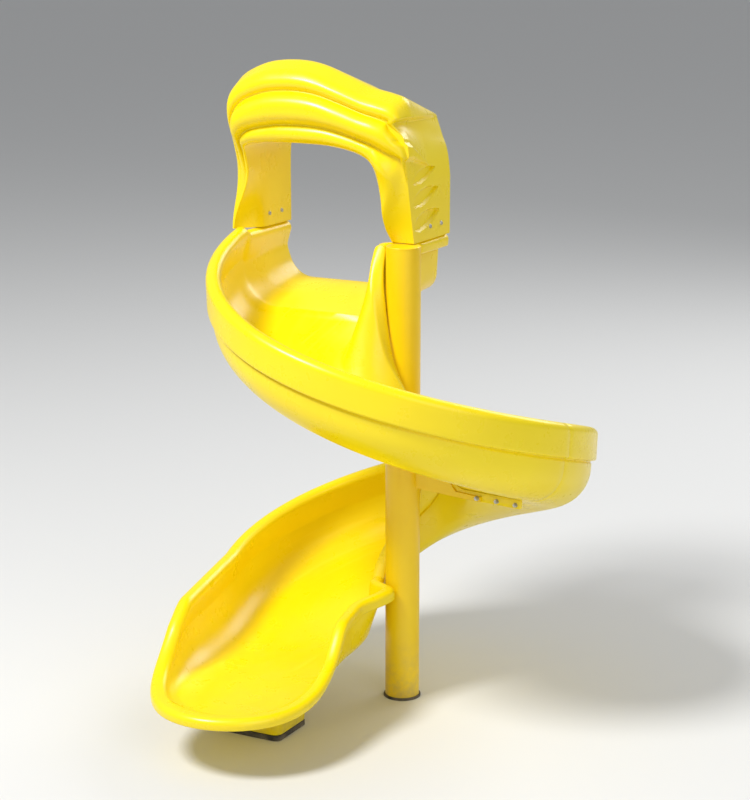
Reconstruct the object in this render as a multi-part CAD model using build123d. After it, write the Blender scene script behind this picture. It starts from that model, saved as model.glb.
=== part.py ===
from build123d import *
import math
import os

# Spiral slide for a playground deck: a hood, three chute sections wound round a centre column,
# and a foot block under the run-out. Millimetres, +Z up. The origin is the centre of the column's
# foot on the ground, +Y points to the deck, and the slide runs out towards -Y.

# Driving dimensions
deck_height = 1500
deck_edge = 329            # y of the deck's face
seam_height = 1712         # joint between the chute's walls and the hood
seam_gap = 3
drop_per_turn = 1200
entry_angle = 180          # where the straight throat meets the spiral
exit_angle = 550           # where the spiral meets the straight run-out
upper_joint = 352          # bolted joints between the chute sections
lower_joint = 477
chute_radius = 712         # outside of the outer lip
column_od = 127
column_wall = 4
skin = 7                   # wall of the moulded sections
exit_floor = 212           # top of the run-out's floor
run_out = 660              # straight run before the rounded nose
lip_width = 62
lip_depth = 118
undercut = 0.26            # how far the wall falls away under the outer lip, per unit of depth
inner_lip_width = 46
nose_hub = 60              # the nose's skin is a plain disc inside this radius
nose_stretch = 38          # how much further the nose reaches at its middle
nose_hook = 42

# Bolted flanges at the section joints, and the arms that carry them
flange_depth = 34
flange_thickness = 8
flange_clearance = 10      # from the end of the wall's bend to the flange
bolt_radius = 4
bolt_clearance = 0.5       # between a bolt and its hole, on the radius
bolt_offset = 24           # from the skin's centre line to the bolts
bolt_tail = 12             # how far a bolt stands out of the last part it holds
washer_radius = 8.5
washer_thickness = 1.6
nut_height = 8
nut_across = 13
arm_bolts = (2, 3)         # which of a joint's bolts also hold its arm
arm_thickness = 8
saddle_thickness = 5
saddle_height = 90

# Deck flange under the floor, and its bolt holes
deck_flange_x = -345
deck_flange_size = (560, 96)
deck_bolt_spacing = 430
deck_bolt_z = 1440
deck_hole_radius = 5.5

# Hood, and the tongues that stand up inside its legs from the throat's lips
hood_front = 36
brow_front = -100
leg_inner = -76
cheek_inner = -656
hood_right = 24
hood_skin = 6
tongue_height = 80
tongue_thickness = 6
tongue_gap = 0.3
tongue_y = (130, 290)
tongue_bolt_inset = 35
tongue_bolt_height = 50    # above the seam

# Foot block and pad under the run-out
block_centre = (-325, -523)
pad_thickness = 20
block_foot = (304, 206)
block_head = (360, 250)
block_corner = 24
block_wall = 7
boss_low = 188
boss_radius = 14
boss_spacing = (180, 90)
insert_radius = 6.5
clamp_thickness = 4

# Column
cap_thickness = 6
plug_depth = 25
foot_plate_thickness = 8
ring_width = 6
ring_height = 9

# Values worked out from them
half = skin / 2
fall_per_degree = drop_per_turn / 360
inner_radius = column_od / 2 + 6
trough_mid = (chute_radius + inner_radius) / 2
nose_radius = (chute_radius - inner_radius) / 2
deck_bolt_x = [deck_flange_x + i * deck_bolt_spacing / 2 for i in (-1, 1)]
base_align = (Align.CENTER, Align.CENTER, Align.MIN)

os.makedirs("parts", exist_ok=True)


def ease(value, start, end):
    """0 before start, 1 after end, and a smooth rise between."""
    t = min(max((value - start) / (end - start), 0), 1)
    return t * t * (3 - 2 * t)


def mix(low, high, share):
    return low + (high - low) * share


# Heights and radii along the chute. In the spiral they follow the angle, in the throat the
# distance back towards the deck, and in the run-out the distance past the spiral.

def spiral_lip(angle):
    return 1731 - fall_per_degree * (angle - entry_angle)


def spiral_inner_lip(angle):
    below = mix(mix(25, 119, ease(angle, 222, 275)), 40, ease(angle, 420, exit_angle))
    return spiral_lip(angle) - below


def spiral_floor(angle):
    level_from = 505
    if angle <= level_from:
        return spiral_lip(angle) - 300
    start = spiral_lip(level_from) - 300
    slope = math.degrees(fall_per_degree) / trough_mid
    travel = math.radians(angle - level_from) * trough_mid
    return level_off(start, slope, travel)


def level_off(start, slope, travel):
    """Height after a fall that eases from slope to level at the exit's floor."""
    full = 2 * (start - exit_floor) / slope
    travel = min(travel, full)
    return start - slope * travel + slope * travel * travel / (2 * full)


def run_floor(distance):
    level_from = 505
    start = spiral_lip(level_from) - 300
    slope = math.degrees(fall_per_degree) / trough_mid
    travel = math.radians(exit_angle - level_from) * trough_mid + distance
    return level_off(start, slope, travel)


def run_lip(distance):
    high = spiral_lip(exit_angle) - 0.08 * distance
    return mix(high, exit_floor + 90, ease(distance, 400, 700))


def run_inner_lip(distance):
    high = spiral_inner_lip(exit_angle) - 0.08 * distance
    return mix(high, exit_floor + 78, ease(distance, 380, 680))


# Profiles. Each is a bent strip drawn in a plane whose x runs out from the column, or from the
# line that carries the column's axis along the run-out, and whose y is height.

def strip_wire(plane, points, radii, near, far):
    """Closed outline of a strip along points with rounded corners, from near to far on its left."""
    sides = []
    for offset in (near, far):
        edges = []
        start = None
        for i, point in enumerate(points):
            here = Vector(*point)
            if i == 0:
                ahead = (Vector(*points[1]) - here).normalized()
                start = here + Vector(-ahead.Y, ahead.X) * offset
                continue
            back = (here - Vector(*points[i - 1])).normalized()
            normal = Vector(-back.Y, back.X)
            if i == len(points) - 1:
                edges.append((start, here + normal * offset))
                continue
            ahead = (Vector(*points[i + 1]) - here).normalized()
            turn = math.atan2(back.X * ahead.Y - back.Y * ahead.X, back.dot(ahead))
            reach = radii[i - 1] * math.tan(abs(turn) / 2)
            side = math.copysign(1, turn)
            arc_start = here - back * reach + normal * offset
            next_normal = Vector(-ahead.Y, ahead.X)
            arc_end = here + ahead * reach + next_normal * offset
            centre = here - back * reach + normal * side * radii[i - 1]
            middle = (normal + next_normal).normalized()
            arc_middle = centre - middle * side * (radii[i - 1] - side * offset)
            edges.append((start, arc_start))
            edges.append((arc_start, arc_middle, arc_end))
            start = arc_end
        sides.append(edges)
    outline = []
    for edge in sides[0] + [(sides[0][-1][-1], sides[1][-1][-1])]:
        outline.append(edge)
    for edge in reversed(sides[1]):
        outline.append(tuple(reversed(edge)))
    outline.append((sides[1][0][0], sides[0][0][0]))
    world = [[plane.from_local_coords(p) for p in edge] for edge in outline]
    return Wire([Edge.make_line(*e) if len(e) == 2 else Edge.make_three_point_arc(*e) for e in world])


def trough_path(lip_z, inner_z, floor_z, lip_r=chute_radius, inner_r=inner_radius, corner_r=250,
                bend=150):
    """Centre line of the trough's skin, from the outer lip's hook to the inner lip's hook."""
    outer = lip_r - half
    inner = inner_r + half
    top = lip_z - half
    inner_top = inner_z - half
    floor = floor_z - half
    wall_foot = min(lip_depth + 7, 0.45 * (top - floor))
    hook = min(lip_depth, 0.42 * (top - floor))
    wall_top_r = outer - lip_width + skin
    wall_foot_r = wall_top_r + undercut * wall_foot
    bend = min(bend, 0.8 * (top - wall_foot - floor))
    points = [
        (outer - 12, top - hook),
        (outer, top - 0.75 * hook),
        (outer, top),
        (wall_top_r, top),
        (wall_foot_r, top - wall_foot),
        (wall_foot_r - 12, floor),
        (corner_r, floor),
        (inner + inner_lip_width - skin, inner_top),
        (inner, inner_top),
        (inner, inner_top - 45),
    ]
    radii = [14, 24, 20, 30, bend, 50, 16, 15]
    return points, radii


def spiral_plane(angle):
    a = math.radians(angle)
    return Plane(origin=(0, 0, 0), x_dir=(math.cos(a), math.sin(a), 0), z_dir=(math.sin(a), -math.cos(a), 0))


def run_plane(distance):
    a = math.radians(exit_angle)
    origin = (-math.sin(a) * distance, math.cos(a) * distance, 0)
    return Plane(origin=origin, x_dir=(math.cos(a), math.sin(a), 0), z_dir=(math.sin(a), -math.cos(a), 0))


def throat_plane(y):
    return Plane(origin=(0, y, 0), x_dir=(-1, 0, 0), z_dir=(0, 1, 0))


def spiral_path(angle):
    corner = mix(mix(110, 250, ease(angle, 180, 235)), 125, ease(angle, 400, 540))
    return trough_path(spiral_lip(angle), spiral_inner_lip(angle), spiral_floor(angle), corner_r=corner,
                       bend=mix(150, 120, ease(angle, 500, exit_angle)))


def throat_path(y):
    back = min(y / 133, 1)
    column_side = mix(inner_radius, -22, ease(y, 20, 115))
    floor = mix(spiral_floor(entry_angle), deck_height, ease(y, -90, deck_edge))
    floor = min(floor, deck_height)
    lip = mix(spiral_lip(entry_angle), seam_height, ease(y, 0, 34))
    inner = mix(spiral_inner_lip(entry_angle), seam_height, ease(y, 0, 34))
    return trough_path(lip, inner, floor, inner_r=column_side, corner_r=mix(110, column_side + 62, back),
                       bend=mix(150, 75, back))


def run_path(distance):
    bend = mix(120, 60, ease(distance, 380, run_out))
    return trough_path(run_lip(distance), run_inner_lip(distance), run_floor(distance),
                       corner_r=125, bend=bend)


def skin_loft(stations):
    """Lofted skin through (plane, (points, radii)) stations."""
    return Solid.make_loft([strip_wire(plane, *path, -half, half) for plane, path in stations])


def steps(start, end, count):
    return [mix(start, end, i / count) for i in range(count + 1)]


def spiral_skin(start, end):
    count = max(2, round((end - start) / 14))
    return skin_loft([(spiral_plane(a), spiral_path(a)) for a in steps(start, end, count)])


# Bolted flanges at the section joints

def flange_route(angle):
    """Where the flange runs along the skin: under the bed, from the outer bend up to the inner wall."""
    points, radii = spiral_path(angle)
    bend, corner, rise = (Vector(*p) for p in points[5:8])
    start = bend + (corner - bend).normalized() * (radii[4] + flange_clearance)
    end = mix_points(corner, rise, 0.62)
    return [start, corner, end], [radii[5]]


def mix_points(a, b, share):
    return a + (b - a) * share


def flange_bolt_points(angle):
    """Bolt centres in the joint's plane, along the middle of the flange."""
    route, _ = flange_route(angle)
    places = [(0, 0.10), (0, 0.39), (0, 0.68), (1, 0.62)]
    centres = []
    for leg, share in places:
        a, b = route[leg], route[leg + 1]
        along = (b - a).normalized()
        out = Vector(-along.Y, along.X) * bolt_offset
        centres.append(mix_points(a, b, share) + out)
    return centres


def joint_flange(angle, side):
    """Flange on one section: side -1 lies before the joint's plane, +1 after it."""
    plane = spiral_plane(angle)
    route, radii = flange_route(angle)
    route = [(p.X, p.Y) for p in route]
    face = Face(strip_wire(plane, route, radii, 0, half + flange_depth))
    plate = extrude(face, amount=flange_thickness, dir=plane.z_dir * -side)
    for centre in flange_bolt_points(angle):
        middle = plane.from_local_coords((centre.X, centre.Y))
        plate -= cylinder_along(middle, plane.z_dir, bolt_radius + bolt_clearance, -20, 20)
    return plate


def cylinder_along(point, direction, radius, start, end):
    base = Plane(origin=point + direction * start, z_dir=direction)
    return extrude(Face(Wire(Edge.make_circle(radius, base))), amount=end - start, dir=direction)


def hexagon_along(point, direction, across, start, end):
    base = Plane(origin=point + direction * start, z_dir=direction)
    face = base * RegularPolygon(across / 2, 6, major_radius=False)
    return extrude(face, amount=end - start, dir=direction)


def button_head(point, direction, radius, height, start):
    base = Plane(origin=point + direction * start, z_dir=direction)
    head = extrude(Face(Wire(Edge.make_circle(radius, base))), amount=height, dir=direction, taper=30)
    return head


def joint_hardware(angle):
    """Bolts, washers and nuts of one section joint, with the heads on the downhill side."""
    plane = spiral_plane(angle)
    bolts, washers, nuts = [], [], []
    axis = plane.z_dir * -1
    face = flange_thickness
    for i, centre in enumerate(flange_bolt_points(angle)):
        middle = plane.from_local_coords((centre.X, centre.Y))
        far = -face - (arm_thickness if i in arm_bolts else 0)
        bolt = cylinder_along(middle, axis, bolt_radius, far - bolt_tail, face + washer_thickness)
        bolt += button_head(middle, axis, 7.5, 4.5, face + washer_thickness)
        bolts.append(bolt)
        for start in (face, far - washer_thickness):
            ring = cylinder_along(middle, axis, washer_radius, start, start + washer_thickness)
            washers.append(ring - cylinder_along(middle, axis, bolt_radius + 0.05, start - 1, start + 3))
        low = far - washer_thickness - nut_height
        nut = hexagon_along(middle, axis, nut_across, low, low + nut_height)
        nuts.append(nut - cylinder_along(middle, axis, bolt_radius + 0.05, low - 1, low + nut_height + 1))
    return bolts, washers, nuts


# Chute sections

def throat_skin():
    return skin_loft([(throat_plane(y), throat_path(y)) for y in steps(0, deck_edge, 11)])


def deck_flange():
    """Plate under the floor at the deck's face, with the row of deck bolt holes."""
    width, depth = deck_flange_size
    plate = Pos(deck_flange_x, deck_edge - flange_thickness / 2, deck_height - depth / 2)
    plate *= Box(width, flange_thickness, depth)
    for x in deck_bolt_x:
        hole = cylinder_along(Vector(x, deck_edge, deck_bolt_z), Vector(0, 1, 0), deck_hole_radius, -20, 20)
        plate -= hole
    return plate


def tongue(wall_face):
    y0, y1 = tongue_y
    x = wall_face - hood_skin - tongue_gap - tongue_thickness / 2
    plate = Pos(x, (y0 + y1) / 2, seam_height + tongue_height / 2 - 4)
    plate *= Box(tongue_thickness, y1 - y0, tongue_height + 8)
    for y in (y0 + tongue_bolt_inset, y1 - tongue_bolt_inset):
        place = Vector(x, y, seam_height + tongue_bolt_height)
        hole = cylinder_along(place, Vector(1, 0, 0), bolt_radius + bolt_clearance, -20, 20)
        plate -= hole
    return plate


def make_entry():
    section = throat_skin() + spiral_skin(entry_angle, upper_joint)
    section += joint_flange(upper_joint, -1)
    section += deck_flange()
    section += tongue(cheek_inner)
    section += tongue(hood_right)
    return section


def make_middle():
    section = spiral_skin(upper_joint, lower_joint)
    section += joint_flange(upper_joint, 1)
    section += joint_flange(lower_joint, -1)
    return section


def nose_plane(turn):
    """Plane through the nose's upright axis: 0 is the outer wall's side, 180 the inner wall's."""
    a = math.radians(exit_angle + turn)
    base = run_plane(run_out)
    origin = base.from_local_coords((trough_mid, 0))
    return Plane(origin=origin, x_dir=(math.cos(a), math.sin(a), 0), z_dir=(math.sin(a), -math.cos(a), 0))


def nose_path(turn):
    """Half trough from the nose's lip in to its hub, reaching further forward in the middle."""
    from_side = min(turn, 180 - turn)
    start = run_lip(run_out) if turn < 90 else run_inner_lip(run_out)
    lip = mix(start, exit_floor + 24, ease(from_side, 0, 55))
    reach = nose_radius + nose_stretch * math.sin(math.radians(turn)) ** 2
    outer = reach - half
    top = lip - half
    floor = exit_floor - half
    points = [
        (outer - 12, top - nose_hook),
        (outer, top - 0.75 * nose_hook),
        (outer, top),
        (outer - lip_width + skin, top),
        (outer - lip_width - 12, floor),
        (nose_hub, floor),
    ]
    radii = [10, 18, 10, 12]
    return points, radii


def make_exit():
    section = spiral_skin(lower_joint, exit_angle)
    section += skin_loft([(run_plane(s), run_path(s)) for s in steps(0, run_out, 11)])
    section += skin_loft([(nose_plane(t), nose_path(t)) for t in steps(0, 180, 12)])
    hub = nose_plane(0).origin
    section += Pos(hub.X, hub.Y, exit_floor - half) * Cylinder(nose_hub + 4, skin)
    section += joint_flange(lower_joint, 1)
    for x, y in foot_bolt_places():
        section += Pos(x, y, boss_low + (exit_floor - 3 - boss_low) / 2) * Cylinder(boss_radius, exit_floor - 3 - boss_low)
    return section - foot_bores()


# Foot block under the run-out. Bosses under the floor pass through its top, and a steel plate
# inside it is bolted up to them.

def foot_bolt_places():
    x, y = block_centre
    return [(x + i * boss_spacing[0] / 2, y + j * boss_spacing[1] / 2) for i in (-1, 1) for j in (-1, 1)]


def foot_bores():
    bores = [Pos(x, y, boss_low + 8) * Cylinder(insert_radius, 16) for x, y in foot_bolt_places()]
    return Compound(bores)


def block_solid(low_size, high_size, low, high):
    lower = Pos(*block_centre, low) * RectangleRounded(*low_size, block_corner)
    upper = Pos(*block_centre, high) * RectangleRounded(*high_size, block_corner)
    return loft([lower, upper])


def make_foot_block():
    top = exit_floor - skin - 0.2
    shrink = 2 * block_wall
    block = block_solid(block_foot, block_head, pad_thickness, top)
    inner_foot = [v - shrink for v in block_foot]
    inner_head = [v - shrink for v in block_head]
    block -= block_solid(inner_foot, inner_head, pad_thickness - 1, boss_low)
    for x, y in foot_bolt_places():
        block -= Pos(x, y, top - 5) * Cylinder(boss_radius + 0.3, 40)
    return block


def make_foot_pad():
    pad = Pos(*block_centre, 0) * RectangleRounded(*block_foot, block_corner)
    return extrude(pad, amount=pad_thickness)


def make_foot_clamp():
    plate = Pos(*block_centre, boss_low - clamp_thickness) * RectangleRounded(250, 150, 12)
    plate = extrude(plate, amount=clamp_thickness)
    for x, y in foot_bolt_places():
        plate -= Pos(x, y, boss_low) * Cylinder(4.5, 20)
    return plate


def make_foot_inserts():
    inserts = []
    for x, y in foot_bolt_places():
        insert = Pos(x, y, boss_low + 7) * Cylinder(insert_radius, 14)
        inserts.append(insert - Pos(x, y, boss_low + 6) * Cylinder(bolt_radius, 14))
    return inserts


def make_foot_bolts():
    bolts = []
    for x, y in foot_bolt_places():
        shank = cylinder_along(Vector(x, y, boss_low - clamp_thickness), Vector(0, 0, 1), bolt_radius, 0, 16)
        head = hexagon_along(Vector(x, y, boss_low - clamp_thickness), Vector(0, 0, -1), nut_across, 0, 5.3)
        bolts.append(shank + head)
    return bolts


# Centre column

def make_column():
    height = seam_height - cap_thickness
    tube = Cylinder(column_od / 2, height, align=base_align)
    return tube - Cylinder(column_od / 2 - column_wall, height, align=base_align)


def make_column_cap():
    top = Pos(0, 0, seam_height - cap_thickness) * Cylinder(column_od / 2, cap_thickness, align=base_align)
    top = chamfer(top.edges().group_by(Axis.Z)[-1], 2)
    plug_radius = column_od / 2 - column_wall - 0.2
    plug = Cylinder(plug_radius, plug_depth, align=base_align) - Cylinder(plug_radius - 3, plug_depth, align=base_align)
    return top + Pos(0, 0, seam_height - cap_thickness - plug_depth) * plug


def make_foot_plate():
    return Cylinder(column_od / 2 - column_wall, foot_plate_thickness, align=base_align)


def make_ground_ring():
    ring = Cylinder(column_od / 2 + ring_width, ring_height, align=base_align)
    ring = chamfer(ring.edges().group_by(Axis.Z)[-1], 3)
    return ring - Cylinder(column_od / 2 + 0.1, 30)


# Support arms: a saddle welded to the column and a plate bolted to the joint's uphill flange

def make_arm(angle):
    plane = spiral_plane(angle)
    floor = spiral_floor(angle)
    column_r = column_od / 2
    saddle = Cylinder(column_r + saddle_thickness, saddle_height, align=base_align)
    saddle -= Cylinder(column_r, saddle_height, align=base_align)
    wedge = Pos(column_r, 0, 0) * Box(column_r, 2 * column_r, 100, align=(Align.CENTER, Align.CENTER, Align.MIN))
    saddle = Pos(0, 0, floor - 40) * Rot(0, 0, angle) * (saddle & wedge)
    points = flange_bolt_points(angle)
    low, high = (points[i] for i in arm_bolts)
    corner_x = flange_route(angle)[0][1].X
    outline = [
        (column_r + 1, floor - 34),
        (low.X - 10, low.Y - 12),
        (low.X + 14, low.Y - 12),
        (low.X + 14, low.Y + 5),
        (corner_x - 6, floor - half - 15),
        (high.X + 6, high.Y + 2),
        (high.X - 8, high.Y + 12),
        (column_r + 1, high.Y + 6 if high.Y < floor + 44 else floor + 44),
    ]
    face = Face(Wire.make_polygon([plane.from_local_coords(p) for p in outline]))
    plate = extrude(face, amount=arm_thickness, dir=plane.z_dir)
    plate = plate.moved(Location(plane.z_dir * flange_thickness))
    plate -= Cylinder(column_r, 3000)
    for centre in (low, high):
        middle = plane.from_local_coords((centre.X, centre.Y))
        plate -= cylinder_along(middle, plane.z_dir, bolt_radius + bolt_clearance, -40, 20)
    return saddle + plate


# Hood: a double-skinned arch over the throat, open at its back and under its legs

def hood_outline():
    low = seam_height + seam_gap
    points = [(-708, low), (-752, 2215), (-630, 2362), (-430, 2345), (-170, 2236), (hood_right, 2225),
              (hood_right, low)]
    path = FilletPolyline(*points, radius=[60, 90, 150, 150, 20])
    return make_face(path + Line(points[-1], points[0]))


def hood_opening():
    low = seam_height - 50
    points = [(cheek_inner, low), (cheek_inner, 2045), (-330, 2045), (-120, 1960), (leg_inner, 1790),
              (leg_inner, low)]
    path = FilletPolyline(*points, radius=[20, 250, 60, 60])
    return make_face(path + Line(points[-1], points[0]))


def upright(face, y_from, y_to):
    """Extrude a face drawn in X and height from y_from to y_to."""
    placed = Plane(origin=(0, y_to, 0), x_dir=(1, 0, 0), z_dir=(0, -1, 0)) * face
    return extrude(placed, amount=y_to - y_from, dir=(0, -1, 0))


def brow_face(frame):
    """The part of the arch above the opening, with a rounded end on the leg."""
    keep = Pos(-330, 2190) * Rectangle(900, 420)
    leg = Pos(-20, 1990) * Rectangle(120, 320)
    return (frame & keep) - leg


def make_hood():
    frame = hood_outline() - hood_opening()
    inner_frame = offset(frame, -hood_skin)
    cheek_void = Pos((cheek_inner - 714) / 2, seam_height) * Rectangle(714 + cheek_inner - 2 * hood_skin, 60)
    leg_void = Pos((leg_inner + hood_right) / 2, seam_height) * Rectangle(
        hood_right - leg_inner - 2 * hood_skin, 60)
    brow = brow_face(frame)
    outer = upright(frame, hood_front, deck_edge) + upright(brow, brow_front, hood_front)
    void = upright(inner_frame + cheek_void + leg_void, hood_front + hood_skin, deck_edge + 20)
    void += upright(offset(brow, -hood_skin), brow_front + hood_skin, hood_front + hood_skin + 1)
    hood = outer - void
    for x, y in hood_bolt_places():
        place = Vector(x, y, seam_height + tongue_bolt_height)
        hood -= cylinder_along(place, Vector(1, 0, 0), bolt_radius + bolt_clearance, -22, 22)
    return hood


def hood_bolt_places():
    y0, y1 = tongue_y
    return [(x, y) for x in (cheek_inner, hood_right) for y in (y0 + tongue_bolt_inset, y1 - tongue_bolt_inset)]


def make_hood_hardware():
    """Bolts, washers and nuts that hold the hood's inner walls to the tongues."""
    bolts, washers, nuts = [], [], []
    back = Vector(-1, 0, 0)
    grip = hood_skin + tongue_thickness + tongue_gap
    for x, y in hood_bolt_places():
        wall = Vector(x, y, seam_height + tongue_bolt_height)
        bolt = cylinder_along(wall, back, bolt_radius, 0, grip + bolt_tail)
        bolt += button_head(wall, -back, 9, 4.5, 0)
        bolts.append(bolt)
        ring = cylinder_along(wall, back, washer_radius, grip, grip + washer_thickness)
        washers.append(ring - cylinder_along(wall, back, bolt_radius + 0.05, grip - 1, grip + 3))
        low = grip + washer_thickness
        nut = hexagon_along(wall, back, nut_across, low, low + nut_height)
        nuts.append(nut - cylinder_along(wall, back, bolt_radius + 0.05, grip, grip + 11))
    return bolts, washers, nuts


def write(name, shape):
    """Write one node: a shape, or a list of separate solids."""
    shape = Compound(children=[part.solid() for part in shape]) if isinstance(shape, list) else shape.solid()
    solids = shape.solids()
    valid = all(solid.is_valid for solid in solids)
    print(name, len(solids), "solids", round(shape.volume / 1000), "cm3", "ok" if valid else "NOT VALID")
    export_step(shape, f"parts/{name}.step")


write("hood", make_hood())
write("entry_section", make_entry())
write("middle_section", make_middle())
write("exit_section", make_exit())
write("centre_column", make_column())
write("column_cap", make_column_cap())
write("column_foot_plate", make_foot_plate())
write("column_ground_ring", make_ground_ring())
write("upper_arm", make_arm(upper_joint))
write("lower_arm", make_arm(lower_joint))
for joint_name, joint_angle in (("upper_joint", upper_joint), ("lower_joint", lower_joint)):
    for kind, pieces in zip(("bolts", "washers", "nuts"), joint_hardware(joint_angle)):
        write(f"{joint_name}_{kind}", pieces)
for kind, pieces in zip(("bolts", "washers", "nuts"), make_hood_hardware()):
    write(f"hood_{kind}", pieces)
write("foot_block", make_foot_block())
write("foot_pad", make_foot_pad())
write("foot_clamp_plate", make_foot_clamp())
write("foot_inserts", make_foot_inserts())
write("foot_bolts", make_foot_bolts())
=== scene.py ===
import math
import bmesh
import bpy
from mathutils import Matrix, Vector


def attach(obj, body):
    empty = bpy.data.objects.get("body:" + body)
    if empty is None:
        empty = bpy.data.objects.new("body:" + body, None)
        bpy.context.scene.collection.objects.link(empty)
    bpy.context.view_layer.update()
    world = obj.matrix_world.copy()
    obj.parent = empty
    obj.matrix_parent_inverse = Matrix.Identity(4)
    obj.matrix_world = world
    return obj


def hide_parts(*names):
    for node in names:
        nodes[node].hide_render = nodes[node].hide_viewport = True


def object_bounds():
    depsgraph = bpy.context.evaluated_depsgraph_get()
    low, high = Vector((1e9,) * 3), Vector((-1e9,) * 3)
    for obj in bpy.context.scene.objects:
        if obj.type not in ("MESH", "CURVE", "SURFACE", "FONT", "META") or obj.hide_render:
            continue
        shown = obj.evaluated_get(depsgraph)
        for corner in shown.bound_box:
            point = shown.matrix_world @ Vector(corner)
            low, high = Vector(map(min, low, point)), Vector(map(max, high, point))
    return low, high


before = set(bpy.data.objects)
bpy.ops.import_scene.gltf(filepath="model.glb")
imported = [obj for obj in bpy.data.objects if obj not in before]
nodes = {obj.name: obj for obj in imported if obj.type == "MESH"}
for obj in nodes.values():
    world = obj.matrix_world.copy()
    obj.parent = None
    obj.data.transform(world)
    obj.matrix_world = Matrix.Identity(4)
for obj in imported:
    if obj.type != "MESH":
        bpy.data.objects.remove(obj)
cadLow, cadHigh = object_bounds()
scene = bpy.context.scene
print("frame loaded:", len(nodes), "nodes")


def mix(low, high, share):
    return low + (high - low) * share


def ease(value, start, end):
    t = min(max((value - start) / (end - start), 0), 1)
    return t * t * (3 - 2 * t)


def steps(start, end, size):
    count = max(1, math.ceil(abs(end - start) / size))
    return [mix(start, end, i / count) for i in range(count + 1)]


# Shared finishes, kept as groups so that each material sets its own amounts

def newGroup(name, inputs, outputs):
    group = bpy.data.node_groups.new(name, "ShaderNodeTree")
    for label, value in inputs.items():
        socket = group.interface.new_socket(label, in_out="INPUT", socket_type="NodeSocketFloat")
        socket.default_value = value
    for label, kind in outputs.items():
        group.interface.new_socket(label, in_out="OUTPUT", socket_type=kind)
    return group, group.nodes.new("NodeGroupInput"), group.nodes.new("NodeGroupOutput")


def noiseNode(tree, vector, scale, detail=3.0, rough=0.5):
    noise = tree.nodes.new("ShaderNodeTexNoise")
    noise.inputs["Detail"].default_value = detail
    noise.inputs["Roughness"].default_value = rough
    tree.links.new(vector, noise.inputs["Vector"])
    if isinstance(scale, (int, float)):
        noise.inputs["Scale"].default_value = scale
    else:
        tree.links.new(scale, noise.inputs["Scale"])
    return noise.outputs["Fac"]


def mathNode(tree, operation, first, second=None, clamp=False):
    node = tree.nodes.new("ShaderNodeMath")
    node.operation = operation
    node.use_clamp = clamp
    for socket, value in zip(node.inputs, (first, second)):
        if value is None:
            continue
        if isinstance(value, (int, float)):
            socket.default_value = value
        else:
            tree.links.new(value, socket)
    return node.outputs[0]


def rangeNode(tree, value, fromLow, fromHigh, toLow=0.0, toHigh=1.0):
    node = tree.nodes.new("ShaderNodeMapRange")
    labels = ("From Min", "From Max", "To Min", "To Max")
    for label, amount in zip(labels, (fromLow, fromHigh, toLow, toHigh)):
        if isinstance(amount, (int, float)):
            node.inputs[label].default_value = amount
        else:
            tree.links.new(amount, node.inputs[label])
    tree.links.new(value, node.inputs["Value"])
    return node.outputs["Result"]


def bumpNode(tree, height, strength, distance, normal=None):
    bump = tree.nodes.new("ShaderNodeBump")
    bump.inputs["Distance"].default_value = distance
    tree.links.new(height, bump.inputs["Height"])
    if isinstance(strength, (int, float)):
        bump.inputs["Strength"].default_value = strength
    else:
        tree.links.new(strength, bump.inputs["Strength"])
    if normal is not None:
        tree.links.new(normal, bump.inputs["Normal"])
    return bump.outputs["Normal"]


def makeMouldedSkin():
    group, given, result = newGroup(
        "mouldedSkin",
        {"Mottle Scale": 3.0, "Peel Scale": 260.0, "Peel Strength": 0.12, "Roughness": 0.34, "Spread": 0.08},
        {"Mottle": "NodeSocketFloat", "Roughness": "NodeSocketFloat", "Normal": "NodeSocketVector"})
    place = group.nodes.new("ShaderNodeTexCoord").outputs["Object"]
    mottle = noiseNode(group, place, given.outputs["Mottle Scale"], 4.0, 0.55)
    patches = noiseNode(group, place, 11.0, 5.0, 0.6)
    low = mathNode(group, "SUBTRACT", given.outputs["Roughness"], given.outputs["Spread"])
    high = mathNode(group, "ADD", given.outputs["Roughness"], given.outputs["Spread"])
    rough = rangeNode(group, patches, 0.3, 0.7, low, high)
    wave = bumpNode(group, noiseNode(group, place, 4.5, 1.0), 0.35, 0.004)
    peel = bumpNode(group, noiseNode(group, place, given.outputs["Peel Scale"], 2.0),
                    given.outputs["Peel Strength"], 0.0008, wave)
    group.links.new(rangeNode(group, mottle, 0.3, 0.7), result.inputs["Mottle"])
    group.links.new(rough, result.inputs["Roughness"])
    group.links.new(peel, result.inputs["Normal"])
    return group


def makeSlideRub():
    # Fine streaks down the bed, where clothing has polished and scratched it
    group, given, result = newGroup(
        "slideRub", {"Bed": 0.0, "Along": 0.0, "Across": 0.0, "Amount": 1.0}, {"Mask": "NodeSocketFloat"})
    spread = group.nodes.new("ShaderNodeCombineXYZ")
    group.links.new(mathNode(group, "MULTIPLY", given.outputs["Along"], 1.4), spread.inputs["X"])
    group.links.new(mathNode(group, "MULTIPLY", given.outputs["Across"], 46.0), spread.inputs["Y"])
    streaks = noiseNode(group, spread.outputs["Vector"], 1.0, 4.0, 0.65)
    broad = group.nodes.new("ShaderNodeCombineXYZ")
    group.links.new(mathNode(group, "MULTIPLY", given.outputs["Along"], 1.1), broad.inputs["X"])
    group.links.new(mathNode(group, "MULTIPLY", given.outputs["Across"], 5.0), broad.inputs["Y"])
    worn = noiseNode(group, broad.outputs["Vector"], 1.0, 2.0)
    mask = mathNode(group, "MULTIPLY", rangeNode(group, streaks, 0.52, 0.72),
                    rangeNode(group, worn, 0.35, 0.65))
    mask = mathNode(group, "MULTIPLY", mask, mathNode(group, "POWER", given.outputs["Bed"], 1.5))
    group.links.new(mathNode(group, "MULTIPLY", mask, given.outputs["Amount"], True), result.inputs["Mask"])
    return group


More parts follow.
